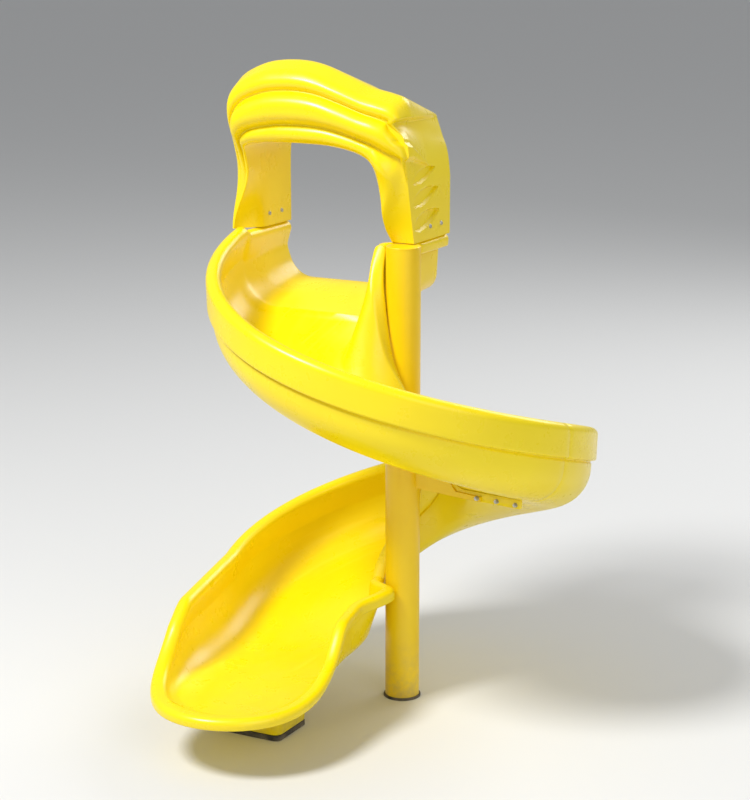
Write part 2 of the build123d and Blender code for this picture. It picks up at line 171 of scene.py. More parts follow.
def makeGroundDust():
    # Splashed dust that thins out with height
    group, given, result = newGroup(
        "groundDust", {"Height": 0.25, "Amount": 0.6}, {"Mask": "NodeSocketFloat"})
    place = group.nodes.new("ShaderNodeTexCoord").outputs["Object"]
    split = group.nodes.new("ShaderNodeSeparateXYZ")
    group.links.new(place, split.inputs["Vector"])
    low = rangeNode(group, split.outputs["Z"], 0.0, given.outputs["Height"], 1.0, 0.0)
    cloud = rangeNode(group, noiseNode(group, place, 16.0, 6.0, 0.65), 0.4, 0.75)
    mask = mathNode(group, "MULTIPLY", mathNode(group, "POWER", low, 2.0), cloud)
    group.links.new(mathNode(group, "MULTIPLY", mask, given.outputs["Amount"], True), result.inputs["Mask"])
    return group


mouldedSkin = makeMouldedSkin()
slideRub = makeSlideRub()
groundDust = makeGroundDust()


def newMaterial(name):
    material = bpy.data.materials.new(name)
    material.use_nodes = True
    tree = material.node_tree
    return material, tree, tree.nodes["Principled BSDF"]


def placeGroup(tree, group, **values):
    node = tree.nodes.new("ShaderNodeGroup")
    node.node_tree = group
    for label, value in values.items():
        socket = node.inputs[label.replace("_", " ")]
        if isinstance(value, (int, float)):
            socket.default_value = value
        else:
            tree.links.new(value, socket)
    return node


def blendColour(tree, share, first, second):
    node = tree.nodes.new("ShaderNodeMix")
    node.data_type = "RGBA"
    tree.links.new(share, node.inputs["Factor"])
    for index, value in ((6, first), (7, second)):
        if isinstance(value, tuple):
            node.inputs[index].default_value = (*value, 1.0)
        else:
            tree.links.new(value, node.inputs[index])
    return node.outputs[2]


finishes = {
    "mouldedYellow": (0.94, 0.74, 0.001),
    "mouldedDeep": (0.91, 0.69, 0.001),
    "rubbedYellow": (0.95, 0.79, 0.05),
    "columnYellow": (0.93, 0.66, 0.001),
    "columnDeep": (0.90, 0.61, 0.001),
    "dust": (0.34, 0.27, 0.17),
    "zinc": (0.60, 0.60, 0.58),
    "zincDull": (0.42, 0.42, 0.41),
    "brass": (0.72, 0.53, 0.22),
    # The next two blacks are painted shade: they make the ground ring and the foot pad stand in for the
    # contact shadow at the ground
    "shadowRubber": (0.022, 0.022, 0.024),
    "shadowRubberGrey": (0.06, 0.058, 0.055),
}


def makePlastic(name, rub):
    material, tree, shader = newMaterial(name)
    skin = placeGroup(tree, mouldedSkin, Mottle_Scale=2.6, Peel_Scale=240.0, Peel_Strength=0.10,
                      Roughness=0.30, Spread=0.06)
    dust = placeGroup(tree, groundDust, Height=0.30, Amount=0.55)
    colour = blendColour(tree, skin.outputs["Mottle"], finishes["mouldedYellow"], finishes["mouldedDeep"])
    rough = skin.outputs["Roughness"]
    if rub:
        read = {}
        for label in ("bed", "along", "across"):
            attribute = tree.nodes.new("ShaderNodeAttribute")
            attribute.attribute_name = label
            read[label] = attribute.outputs["Fac"]
        marks = placeGroup(tree, slideRub, Bed=read["bed"], Along=read["along"],
                           Across=read["across"], Amount=0.55)
        colour = blendColour(tree, marks.outputs["Mask"], colour, finishes["rubbedYellow"])
        rough = mathNode(tree, "ADD", rough, mathNode(tree, "MULTIPLY", marks.outputs["Mask"], 0.16))
    colour = blendColour(tree, dust.outputs["Mask"], colour, finishes["dust"])
    rough = mathNode(tree, "ADD", rough, mathNode(tree, "MULTIPLY", dust.outputs["Mask"], 0.35))
    tree.links.new(colour, shader.inputs["Base Color"])
    tree.links.new(rough, shader.inputs["Roughness"])
    tree.links.new(skin.outputs["Normal"], shader.inputs["Normal"])
    shader.inputs["IOR"].default_value = 1.5
    return material


def makeCoat():
    material, tree, shader = newMaterial("columnCoat")
    skin = placeGroup(tree, mouldedSkin, Mottle_Scale=5.0, Peel_Scale=700.0, Peel_Strength=0.22,
                      Roughness=0.36, Spread=0.05)
    dust = placeGroup(tree, groundDust, Height=0.35, Amount=0.7)
    colour = blendColour(tree, skin.outputs["Mottle"], finishes["columnYellow"], finishes["columnDeep"])
    colour = blendColour(tree, dust.outputs["Mask"], colour, finishes["dust"])
    tree.links.new(colour, shader.inputs["Base Color"])
    tree.links.new(skin.outputs["Roughness"], shader.inputs["Roughness"])
    tree.links.new(skin.outputs["Normal"], shader.inputs["Normal"])
    return material


def makeMetal(name, bright, dull, roughness):
    material, tree, shader = newMaterial(name)
    skin = placeGroup(tree, mouldedSkin, Mottle_Scale=60.0, Peel_Scale=900.0, Peel_Strength=0.25,
                      Roughness=roughness, Spread=0.1)
    colour = blendColour(tree, skin.outputs["Mottle"], bright, dull)
    tree.links.new(colour, shader.inputs["Base Color"])
    tree.links.new(skin.outputs["Roughness"], shader.inputs["Roughness"])
    tree.links.new(skin.outputs["Normal"], shader.inputs["Normal"])
    shader.inputs["Metallic"].default_value = 1.0
    return material


# Black finish of the ground ring and the foot pad, painted shade standing in for the contact shadow where the
# column and the foot block meet the ground
def makeContactShadowRubber():
    material, tree, shader = newMaterial("contactShadowRubber")
    skin = placeGroup(tree, mouldedSkin, Mottle_Scale=30.0, Peel_Scale=520.0, Peel_Strength=0.5,
                      Roughness=0.78, Spread=0.08)
    dust = placeGroup(tree, groundDust, Height=0.05, Amount=0.8)
    colour = blendColour(tree, skin.outputs["Mottle"], finishes["shadowRubber"], finishes["shadowRubberGrey"])
    colour = blendColour(tree, dust.outputs["Mask"], colour, finishes["dust"])
    tree.links.new(colour, shader.inputs["Base Color"])
    tree.links.new(skin.outputs["Roughness"], shader.inputs["Roughness"])
    tree.links.new(skin.outputs["Normal"], shader.inputs["Normal"])
    return material


chutePlastic = makePlastic("chutePlastic", True)
hoodPlastic = makePlastic("hoodPlastic", False)
columnCoat = makeCoat()
zincSteel = makeMetal("zincSteel", finishes["zinc"], finishes["zincDull"], 0.36)
insertBrass = makeMetal("insertBrass", finishes["brass"], finishes["brass"], 0.3)
contactShadowRubber = makeContactShadowRubber()
print("materials made")


# Mesh helpers

weldDistance = 2e-5


def finishPiece(name, mesh, material, replaced, sharpAngle=42):
    data = bpy.data.meshes.new(name)
    mesh.to_mesh(data)
    mesh.free()
    data.polygons.foreach_set("use_smooth", [True] * len(data.polygons))
    data.set_sharp_from_angle(angle=math.radians(sharpAngle))
    data.materials.append(material)
    piece = bpy.data.objects.new(name, data)
    scene.collection.objects.link(piece)
    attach(piece, "root")
    if replaced:
        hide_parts(*replaced)
    print(name, len(data.polygons), "faces")
    return piece


def roundedPath(corners):
    # corners are (x, z, radius, arc steps, points on the straight after it, bed wear)
    spots = [Vector(corner[:2]) for corner in corners]
    halves, reaches = [0.0], [0.0]
    for index in range(1, len(spots) - 1):
        back = spots[index - 1] - spots[index]
        ahead = spots[index + 1] - spots[index]
        half = max(back.angle(ahead) / 2, 0.01)
        halves.append(half)
        reaches.append(corners[index][2] / math.tan(half) if half < 1.56 else 0.0)
    halves.append(0.0)
    reaches.append(0.0)
    shares = [1.0] * len(spots)
    for index in range(len(spots) - 1):
        total = reaches[index] + reaches[index + 1]
        room = 0.97 * (spots[index + 1] - spots[index]).length
        if total > room:
            for end in (index, index + 1):
                shares[end] = min(shares[end], room / total)
    arcs = []
    for index, corner in enumerate(corners):
        here = spots[index]
        if index in (0, len(corners) - 1):
            arcs.append([here])
            continue
        reach = max(reaches[index] * shares[index], 1e-5)
        back = (spots[index - 1] - here).normalized()
        ahead = (spots[index + 1] - here).normalized()
        start, end = here + back * reach, here + ahead * reach
        if halves[index] > 1.55:
            arcs.append([start.lerp(end, i / corner[3]) for i in range(corner[3] + 1)])
            continue
        centre = here + (back + ahead).normalized() * reach / math.cos(halves[index])
        first, last = start - centre, end - centre
        turn = first.angle(last)
        arc = []
        for i in range(corner[3] + 1):
            share = i / corner[3]
            swing = first * math.sin((1 - share) * turn) + last * math.sin(share * turn)
            arc.append(centre + swing / math.sin(turn))
        arcs.append(arc)
    path = []
    for index, arc in enumerate(arcs):
        wear = corners[index][5]
        path += [(*spot, wear) for spot in arc]
        if index + 1 < len(arcs):
            count = corners[index][4]
            for i in range(1, count + 1):
                share = i / (count + 1)
                spot = arc[-1].lerp(arcs[index + 1][0], share)
                path.append((*spot, mix(wear, corners[index + 1][5], share)))
    return path


def sweepSkin(mesh, stations, closed):
    # stations are (places, along), where a place is (position, across, bed)
    order = mesh.verts.layers.int.get("order") or mesh.verts.layers.int.new("order")
    layers = [mesh.verts.layers.float.get(name) or mesh.verts.layers.float.new(name)
              for name in ("along", "across", "bed")]

    def settle(vert, places, along):
        position, across, bed = places[vert[order]]
        vert.co = position
        for layer, value in zip(layers, (along, across, bed)):
            vert[layer] = value

    places, along = stations[0]
    ring = [mesh.verts.new() for _ in places]
    for index, vert in enumerate(ring):
        vert[order] = index
        settle(vert, places, along)
    edges = [mesh.edges.new(pair) for pair in zip(ring, ring[1:] + ring[:1] if closed else ring[1:])]
    rims = [edges]
    for places, along in stations[1:]:
        grown = bmesh.ops.extrude_edge_only(mesh, edges=edges)["geom"]
        fresh = {item for item in grown if isinstance(item, bmesh.types.BMVert)}
        for vert in fresh:
            settle(vert, places, along)
        edges = [item for item in grown if isinstance(item, bmesh.types.BMEdge)
                 and item.verts[0] in fresh and item.verts[1] in fresh]
    rims.append(edges)
    return rims


def endCaps(mesh):
    # the only faces with this many corners are the ones that close a swept form
    return [face for face in mesh.faces if len(face.verts) > 20]


def capRim(mesh, rim):
    return bmesh.ops.contextual_create(mesh, geom=rim)["faces"]


def closeForm(mesh):
    bmesh.ops.remove_doubles(mesh, verts=mesh.verts, dist=weldDistance)
    bmesh.ops.dissolve_degenerate(mesh, edges=mesh.edges, dist=1e-6)
    bmesh.ops.recalc_face_normals(mesh, faces=mesh.faces)
    loose = sum(1 for edge in mesh.edges if not edge.is_manifold)
    print("  open edges left:", loose)


def softenRims(mesh, caps, width):
    edges = list({edge for face in caps for edge in face.edges})
    bmesh.ops.bevel(mesh, geom=edges, offset=width, segments=2, profile=0.5, affect="EDGES", material=-1,
                    clamp_overlap=True)


# Chute. Radii are from the column's axis, heights from the ground, angles anticlockwise from +X.

chute = {
    "lipRadius": 0.712,
    "innerRadius": 0.0695,
    "fallPerDegree": 1.2 / 360,
    "entryLip": 1.731,
    "seamHeight": 1.712,
    "deckHeight": 1.5,
    "deckEdge": 0.329,
    "depth": 0.3,
    "entryAngle": 180,
    "upperJoint": 352,
    "lowerJoint": 477,
    "exitAngle": 550,
    "levelFrom": 505,
    "exitFloor": 0.212,
    "runLength": 0.56,
    "skin": 0.009,
    "columnWrap": 0.072,              # how far the inner lip swings across just past the column
    "innerDrop": (0.025, 0.119, 0.04),  # inner lip below the outer: entry, mid-turn, exit
    "innerDropTurn": (222, 275, 420),
    "runFall": 0.08,
    "outerEnd": 0.38,
    "outerEndFrom": (0.44, 0.62),
    "innerEnd": 0.30,
    "innerEndFrom": (0.41, 0.60),
    "lipWidth": 0.066,
    "lipBand": 0.126,
    "innerLipWidth": 0.05,
    "innerLipBand": 0.05,
    "footDepth": 0.125,               # where the wall leaves the lip: its depth and inset
    "footInset": 0.062,
    "undercut": 0.26,
    "cornerStep": 0.012,
    "innerCorner": (0.11, 0.25, 0.125),   # radius of the bed's inner corner: entry, mid-turn, exit
    "innerCornerTurn": (180, 235, 400, 540),
    "outerBend": (0.15, 0.12),
    "outerBendTurn": (500, 550),
    "throatStep": 0.012,
    "throatBack": 0.133,              # the throat keeps its deck-end profile beyond this
    "throatInner": -0.022,
    "throatInnerFrom": (0.02, 0.115),
    "throatCorner": 0.062,
    "throatBend": 0.19,
    "throatLean": 0.03,
    "seamRise": 0.034,
    "runBend": 0.09,
    "runBendFrom": 0.38,
    "wrapReach": (0.03, 0.09, 0.28),
    "noseStretch": 0.130,
    "noseLip": 0.024,
    "noseBand": 0.044,
    "angleStep": 2.5,
    "rimBevel": 0.0016,
}
troughMid = (chute["lipRadius"] + chute["innerRadius"]) / 2
noseRadius = (chute["lipRadius"] - chute["innerRadius"]) / 2


def spiralLip(angle):
    return chute["entryLip"] - chute["fallPerDegree"] * (angle - chute["entryAngle"])


def spiralInnerLip(angle):
    entry, turn, leaving = chute["innerDrop"]
    start, full, fade = chute["innerDropTurn"]
    below = mix(mix(entry, turn, ease(angle, start, full)), leaving, ease(angle, fade, chute["exitAngle"]))
    return spiralLip(angle) - below


def levelledFloor(travel):
    start = spiralLip(chute["levelFrom"]) - chute["depth"]
    slope = math.degrees(chute["fallPerDegree"]) / troughMid
    full = 2 * (start - chute["exitFloor"]) / slope
    travel = min(travel, full)
    return start - slope * travel + slope * travel * travel / (2 * full)


def spiralFloor(angle):
    if angle <= chute["levelFrom"]:
        return spiralLip(angle) - chute["depth"]
    return levelledFloor(math.radians(angle - chute["levelFrom"]) * troughMid)


def runFloor(distance):
    return levelledFloor(math.radians(chute["exitAngle"] - chute["levelFrom"]) * troughMid + distance)


def runLip(distance):
    high = spiralLip(chute["exitAngle"]) - chute["runFall"] * distance
    return mix(high, chute["outerEnd"], ease(distance, *chute["outerEndFrom"]))


def runInnerLip(distance):
    high = spiralInnerLip(chute["exitAngle"]) - chute["runFall"] * distance
    return mix(high, chute["innerEnd"], ease(distance, *chute["innerEndFrom"]))


def outerSide(lip, floor, bend):
    drop = lip - floor
    footDrop = min(chute["footDepth"], 0.45 * drop)
    footIn = chute["footInset"] - chute["undercut"] * footDrop
    return {"edge": chute["lipRadius"] - troughMid, "top": lip, "floor": floor,
            "crest": chute["lipWidth"], "band": min(chute["lipBand"], 0.44 * drop),
            "footDrop": footDrop, "footIn": footIn, "cornerIn": footIn + chute["cornerStep"],
            "bend": min(bend, 0.9 * (drop - footDrop))}


def innerSide(lip, floor, cornerRadius, innerRadius=None):
    innerRadius = chute["innerRadius"] if innerRadius is None else innerRadius
    drop = lip - floor
    cornerIn = cornerRadius - innerRadius
    crest = chute["innerLipWidth"]
    return {"edge": troughMid - innerRadius, "top": lip, "floor": floor, "crest": crest,
            "band": min(chute["innerLipBand"], 0.3 * drop), "footDrop": 0.4 * drop,
            "footIn": mix(crest, cornerIn, 0.4), "cornerIn": cornerIn, "bend": 0.06}


def halfTrough(side):
    # One side of the trough, from the middle of its underside round the lip to the middle of its bed
    skin = chute["skin"]
    edge, top, floor, band = side["edge"], side["top"], side["floor"], side["band"]
    foot = Vector((edge - side["footIn"], top - side["footDrop"]))
    corner = Vector((edge - side["cornerIn"], floor))
    wall = (foot - corner).normalized()
    outward = Vector((wall.y, -wall.x))
    under = corner + outward * skin - wall * skin * (1 + outward.y) / wall.y
    bodyHeight = top - band - 0.012
    body = corner + outward * skin + wall * (bodyHeight - floor - outward.y * skin) / wall.y
    crease = Vector((body.x - 0.006, top - band - 0.002))
    skirt = ease(floor + 0.05 - bodyHeight, 0, 0.05)       # on a low lip the band hangs below the bed
    body = body.lerp(Vector((edge - 0.032, floor - skin)), skirt)
    crease = crease.lerp(Vector((edge - 0.019, top - band)), skirt)
    crest = side["crest"]
    return roundedPath([
        (0, floor - skin, 0, 0, 8, 0),
        (*under, side["bend"] + skin, 12, 3, 0),
        (*body, 0.005, 3, 0, 0),
        (*crease, 0.003, 3, 1, 0),
        (edge - 0.004, top - band + 0.003, 0.009, 4, 3, 0),
        (edge, top, 0.42 * crest, 8, 1, 0.1),
        (edge - crest, top, 0.42 * crest, 8, 2, 0.35),
        (*foot, 0.05, 5, 2, 0.3),
        (*corner, side["bend"], 12, 8, 0.8),
        (0, floor, 0, 0, 0, 1),
    ])


def polar(angle):
    return Vector((math.cos(math.radians(angle)), math.sin(math.radians(angle)), 0))


def placeSide(side, base, direction, sign=1):
    # base is the point over the middle of the bed, direction the way out from the column
    places, across, last = [], 0.0, None
    for out, height, bed in halfTrough(side):
        spot = Vector((out, height))
        across += (spot - last).length if last is not None else 0
        last = spot
        places.append((base + direction * out * sign + Vector((0, 0, height)), across * sign, bed))
    return places


def troughStation(outer, inner, base, direction, along):
    outerPlaces = placeSide(outer, base, direction)
    innerPlaces = placeSide(inner, base, direction, -1)
    return outerPlaces + innerPlaces[-2:0:-1], along


def spiralSides(angle):
    entry, turn, leaving = chute["innerCorner"]
    start, full, fade, end = chute["innerCornerTurn"]
    corner = mix(mix(entry, turn, ease(angle, start, full)), leaving, ease(angle, fade, end))
    floor = spiralFloor(angle)
    outer = outerSide(spiralLip(angle), floor, mix(*chute["outerBend"], ease(angle, *chute["outerBendTurn"])))
    return outer, innerSide(spiralInnerLip(angle), floor, corner)


def spiralStations(start, end):
    stations = []
    for angle in steps(start, end, chute["angleStep"]):
        direction = polar(angle)
        outer, inner = spiralSides(angle)
        along = math.radians(angle) * troughMid
        stations.append(troughStation(outer, inner, direction * troughMid, direction, along))
    return stations


def throatStations():
    stations = []
    seam, deck, entry = chute["seamHeight"], chute["deckHeight"], chute["entryAngle"]
    for y in steps(chute["deckEdge"], 0, chute["throatStep"]):
        back = min(y / chute["throatBack"], 1)
        rise = ease(y, 0, chute["seamRise"])
        columnSide = mix(chute["innerRadius"], chute["throatInner"], ease(y, *chute["throatInnerFrom"]))
        floor = min(mix(spiralFloor(entry), deck, ease(y, -0.09, chute["deckEdge"])), deck)
        outer = outerSide(mix(spiralLip(entry), seam, rise), floor,
                          mix(chute["outerBend"][0], chute["throatBend"], back))
        outer["cornerIn"] += chute["throatLean"] * back
        corner = mix(chute["innerCorner"][0], columnSide + chute["throatCorner"], back)
        inner = innerSide(mix(spiralInnerLip(entry), seam, rise), floor, corner, columnSide)
        stations.append(troughStation(outer, inner, Vector((-troughMid, y, 0)), Vector((-1, 0, 0)),
                                      math.radians(entry) * troughMid - y))
    return stations


def addFlange(mesh, angle, side):
    # Bolted flange under one section's end: side -1 lies uphill of the joint, +1 downhill
    settings = {"depth": 0.032, "thickness": 0.008, "lap": 0.002, "bevel": 0.0015}
    direction = polar(angle)
    downhill = polar(angle + 90)
    outer, inner = spiralSides(angle)
    route = [Vector((troughMid + out, height)) for out, height, bed in halfTrough(outer)[1:9]][::-1]
    route += [Vector((troughMid - out, height)) for out, height, bed in halfTrough(inner)[:19]]
    inside, outside = [], []
    for index, spot in enumerate(route):
        ahead = (route[min(index + 1, len(route) - 1)] - route[max(index - 1, 0)]).normalized()
        out = Vector((-ahead.y, ahead.x))
        inside.append(spot - out * settings["lap"])
        outside.append(spot + out * settings["depth"])
    chains = []
    for chain in (inside, outside):
        verts = [mesh.verts.new(direction * spot.x + Vector((0, 0, spot.y))) for spot in chain]
        chains.append([mesh.edges.new(pair) for pair in zip(verts, verts[1:])])
    strip = bmesh.ops.bridge_loops(mesh, edges=chains[0] + chains[1])["faces"]
    grown = bmesh.ops.extrude_face_region(mesh, geom=strip)["geom"]
    verts = [item for item in grown if isinstance(item, bmesh.types.BMVert)]
    bmesh.ops.translate(mesh, verts=verts, vec=downhill * settings["thickness"] * side)
    shell = {face for vert in verts for face in vert.link_faces} | set(strip)
    rims = [edge for face in shell for edge in face.edges if edge.calc_face_angle(0) > 0.8]
    bmesh.ops.bevel(mesh, geom=list(set(rims)), offset=settings["bevel"], segments=2, profile=0.5,
                    affect="EDGES", material=-1, clamp_overlap=True)


def sweptSection(name, stations, extra, flanges, replaced):
    mesh = bmesh.new()
    rims = sweepSkin(mesh, stations, True)
    capRim(mesh, rims[0])
    for strip in extra:
        sweepSkin(mesh, strip, False)
    if not extra:
        capRim(mesh, rims[1])
    bmesh.ops.remove_doubles(mesh, verts=mesh.verts, dist=weldDistance)
    bmesh.ops.recalc_face_normals(mesh, faces=mesh.faces)
    softenRims(mesh, endCaps(mesh), chute["rimBevel"])
    for angle, side in flanges:
        addFlange(mesh, angle, side)
    closeForm(mesh)
    return finishPiece(name, mesh, chutePlastic, replaced)


def runStation(distance):
    turn = chute["exitAngle"]
    direction = polar(turn)
    base = polar(turn + 90) * distance + direction * troughMid
    floor = runFloor(distance)
    tighten = ease(distance, chute["runBendFrom"], chute["runLength"])
    outer = outerSide(runLip(distance), floor, mix(chute["outerBend"][1], chute["runBend"], tighten))
    # just past the column the inner lip swings across its front before it runs straight
    start, full, end = chute["wrapReach"]
    wrap = ease(distance, start, full) * (1 - ease(distance, full, end))
    inner = innerSide(runInnerLip(distance), floor, chute["innerCorner"][2],
                      chute["innerRadius"] - chute["columnWrap"] * wrap)
    return outer, inner, base, direction, math.radians(turn) * troughMid + distance


def runOutStrip():
    # Out along the outer wall, round the nose, and back along the inner wall
    reach = steps(0, chute["runLength"], 0.02)
    stations = []
    for distance in reach:
        outer, inner, base, direction, along = runStation(distance)
        stations.append((placeSide(outer, base, direction), along))
    outer, inner, base, direction, along = runStation(chute["runLength"])
    floor = chute["exitFloor"]
    front = {"edge": noseRadius, "top": floor + chute["noseLip"], "floor": floor, "crest": 0.055,
             "band": chute["noseBand"], "footDrop": 0.6 * chute["noseLip"], "footIn": 0.075, "cornerIn": 0.11,
             "bend": 0.05}
    for turn in steps(0, 180, 4)[1:-1]:
        start = outer if turn < 90 else inner
        share = 1 - (1 - min(min(turn, 180 - turn) / 70, 1)) ** 2.4
        side = {key: mix(start[key], front[key], share) for key in front}
        side["edge"] = noseRadius + chute["noseStretch"] * math.sin(math.radians(turn)) ** 2
        places = placeSide(side, base, polar(chute["exitAngle"] + turn))
        stations.append((places, along + 0.3 * math.sin(math.radians(turn))))
    for distance in reach[::-1]:
        outer, inner, base, direction, along = runStation(distance)
        stations.append((placeSide(inner, base, -direction), along))
    return stations


entrySection = sweptSection(
    "entrySection", throatStations() + spiralStations(chute["entryAngle"], chute["upperJoint"])[1:], [],
    [(chute["upperJoint"], -1)], ["entry_section"])
middleSection = sweptSection(
    "middleSection", spiralStations(chute["upperJoint"], chute["lowerJoint"]), [],
    [(chute["upperJoint"], 1), (chute["lowerJoint"], -1)], ["middle_section"])
exitSection = sweptSection(
    "exitSection", spiralStations(chute["lowerJoint"], chute["exitAngle"]), [runOutStrip()],
    [(chute["lowerJoint"], 1)], ["exit_section"])
print("chute made")


# Hood

hood = {
    # outer x and z, inner x and z, front y, how far the rolled bands stand out, and how far they
    # have swept out to the leg's corner
    "arch": [
        (-0.708, 1.715, -0.656, 1.715, 0.036, 0.0, 0.0),
        (-0.708, 1.850, -0.656, 1.840, 0.034, 0.0, 0.0),
        (-0.712, 1.960, -0.656, 1.930, 0.020, 0.1, 0.0),
        (-0.714, 2.060, -0.653, 2.005, -0.010, 0.4, 0.0),
        (-0.716, 2.160, -0.640, 2.040, -0.045, 0.8, 0.0),
        (-0.712, 2.235, -0.600, 2.055, -0.060, 1.0, 0.0),
        (-0.682, 2.288, -0.555, 2.060, -0.062, 1.0, 0.0),
        (-0.630, 2.324, -0.505, 2.062, -0.062, 1.0, 0.0),
        (-0.547, 2.353, -0.450, 2.063, -0.062, 1.0, 0.0),
        (-0.435, 2.361, -0.370, 2.063, -0.062, 1.0, 0.0),
        (-0.339, 2.347, -0.297, 2.061, -0.062, 1.0, 0.0),
        (-0.237, 2.311, -0.225, 2.053, -0.062, 1.0, 0.0),
        (-0.135, 2.273, -0.163, 2.038, -0.060, 1.0, 0.0),
        (-0.060, 2.256, -0.120, 2.015, -0.058, 1.0, 0.03),
        (-0.008, 2.238, -0.097, 1.980, -0.055, 0.95, 0.10),
        (0.014, 2.195, -0.084, 1.930, -0.050, 0.85, 0.27),
        (0.022, 2.130, -0.078, 1.870, -0.042, 0.65, 0.52),
        (0.024, 2.050, -0.076, 1.815, -0.034, 0.30, 0.80),
        (0.024, 1.930, -0.076, 1.770, -0.012, 0.0, 0.93),
        (0.024, 1.820, -0.076, 1.740, 0.012, 0.0, 0.94),
        (0.024, 1.715, -0.076, 1.715, 0.036, 0.0, 0.94),
    ],
    "rear": 0.329,
    # share of the way out, step forward of the front, radius, arc steps, points after, sweep rate
    "bands": [
        (0.00, 0.014, 0.016, 5, 2, 0),
        (0.10, -0.034, 0.035, 6, 3, 0.6),
        (0.225, 0.006, 0.004, 3, 2, 1),
        (0.31, -0.036, 0.045, 6, 3, 1),
        (0.53, -0.040, 0.045, 6, 2, 1),
        (0.63, 0.002, 0.004, 3, 1, 1),
        (0.65, 0.000, 0.004, 3, 2, 1.7),
        (0.71, -0.028, 0.04, 5, 2, 1.7),
        (0.87, 0.004, 0.08, 6, 2, 1.7),
    ],
    "edgeRadius": 0.022,
    "rearDrop": 0.095,
    "flareInner": 0.078,
    "flareOuter": 0.034,
    "capEdge": (2.152, 2.137),        # height of the cap's lower edge on the right side, front and rear
    "sideRecess": 0.036,
    "rearRecess": 0.012,
    "capSoft": 0.022,
    "tailHeight": 0.016,
    "tailTop": (2.085, 1.990),        # the middle band's tail: its edges at the front and where it dies
    "tailFoot": (2.018, 1.984),
    "tailReach": 0.150,
    "fineFrom": 13,                   # the arch row from which the stations lie closer
    "fineStep": 0.0045,
    "coarseStep": 0.012,
    "rimBevel": 0.0016,
    # hollows on the right leg: middle y and z, half length, half width
    "leaves": [(0.118, 1.958, 0.088, 0.026), (0.130, 1.880, 0.096, 0.032), (0.142, 1.795, 0.098, 0.034)],
    "leafTilt": 0.20,
    "leafDepth": 0.012,
}


def smoothThrough(keys, spot):
    # Catmull-Rom curve through rows of numbers
    index = min(int(spot), len(keys) - 2)
    t = spot - index
    rows = [keys[min(max(index + i, 0), len(keys) - 1)] for i in (-1, 0, 1, 2)]
    result = []
    for a, b, c, d in zip(*rows):
        result.append(0.5 * (2 * b + (c - a) * t + (2 * a - 5 * b + 4 * c - d) * t * t
                             + (3 * b - a - 3 * c + d) * t ** 3))
    return result


def hoodStation(row):
    outX, outZ, inX, inZ, front, bands, sweep = row
    inner, outer = Vector((inX, inZ)), Vector((outX, outZ))
    span = (outer - inner).length
    across = (outer - inner).normalized()
    bands = min(max(bands, 0), 1)
    rear = hood["rear"]
    edge = min(hood["edgeRadius"], 0.35 * span)
    corners = [(0, rear, 0, 0, 10, 0)]
    for share, step, radius, arc, after, rate in hood["bands"]:
        share = 1 - (1 - share) * (1 - min(max(sweep, 0) * rate, 0.95)) if share else 0
        radius = radius if share else mix(edge, radius, bands)
        corners.append((share * span, front + step * bands, radius, arc, after, 0))
    corners.append((span, front + 0.085 * bands, mix(edge, 0.06, bands), 8, 52, 0))
    corners.append((span - hood["rearDrop"] * bands, rear, 0, 0, 0, 0))
    places, reach, last = [], 0.0, None
    for out, y, bed in roundedPath(corners):
        spot = inner + across * out
        here = Vector((spot.x, y, spot.y))
        reach += (here - last).length if last is not None else 0
        last = here
        places.append((here, reach, bed))
    return places


def shapeHood(position):
    x, y, z = position
    if x < -0.6:        # the left cheek flares out towards its front
        share = ease(-y, -0.145, -0.03) * (1 - ease(z, 1.715, 1.96))
        inward = min(max((x + 0.708) / 0.052, 0), 1)
        return Vector((x - share * mix(hood["flareOuter"], hood["flareInner"], inward), y, z))
    if x > -0.06:       # the right side carries the cap's edge, the middle band's tail and the leaf hollows
        side = ease(x, -0.05, -0.005) * ease(y, -0.11, -0.02)
        back = min(max(y / hood["rear"], 0), 1)
        capEdge = mix(hood["capEdge"][0], hood["capEdge"][1], back)
        reach = min(max(y / hood["tailReach"], 0), 1)
        crest = mix(*hood["tailTop"], reach) if y > 0 else hood["tailTop"][0] - 0.2 * y
        foot = mix(*hood["tailFoot"], reach)
        recess = mix(hood["sideRecess"], hood["rearRecess"], back)
        out = -recess * ease(z, crest, capEdge) * (1 - ease(z, capEdge, capEdge + hood["capSoft"]))
        if foot < z < crest:
            fill = 1 - abs(2 * (z - foot) / (crest - foot) - 1)
            out += hood["tailHeight"] * ease(fill, 0, 0.55) * (1 - ease(y, 0.10, 0.165))
        out *= side
        for leafY, leafZ, length, width in hood["leaves"]:
            along = (y - leafY) / length
            up = z - leafZ - hood["leafTilt"] * (y - leafY)
            if abs(along) < 1 and x > 0.005:
                half = 0.94 * width * (1 - along) ** 0.9 * (1 + along) ** 0.5
                fill = 1 - abs(up) / (half + 1e-6)
                out -= hood["leafDepth"] * ease(fill, 0, 0.28)
        return Vector((x + out, y, z))
    return position


def makeHood():
    mesh = bmesh.new()
    arch = hood["arch"]
    stations = []
    for index in range(len(arch) - 1):
        first, second = Vector(arch[index][:2]), Vector(arch[index + 1][:2])
        fine = hood["fineStep"] if index >= hood["fineFrom"] else hood["coarseStep"]
        count = max(3, math.ceil((second - first).length / fine))
        last = index == len(arch) - 2
        for i in range(count + (1 if last else 0)):
            row = smoothThrough(arch, index + min(i / count, 0.999999))
            places = hoodStation(row)
            shaped = [(shapeHood(spot), across, bed) for spot, across, bed in places]
            stations.append((shaped, index + i / count))
    rims = sweepSkin(mesh, stations, True)
    for rim in rims:
        capRim(mesh, rim)
    bmesh.ops.recalc_face_normals(mesh, faces=mesh.faces)
    softenRims(mesh, endCaps(mesh), hood["rimBevel"])
    closeForm(mesh)
    return finishPiece("hoodShell", mesh, hoodPlastic, ["hood"], 35)


hoodShell = makeHood()
print("hood made")


# Column, cap and ground ring, each a turned form

column = {
    "radius": 0.0635,
    "wall": 0.004,
    "top": 1.706,
    "capTop": 1.712,
    "capBevel": 0.003,
    "ringRadius": 0.0695,
    "ringTop": 0.009,
    "sides": 96,
}


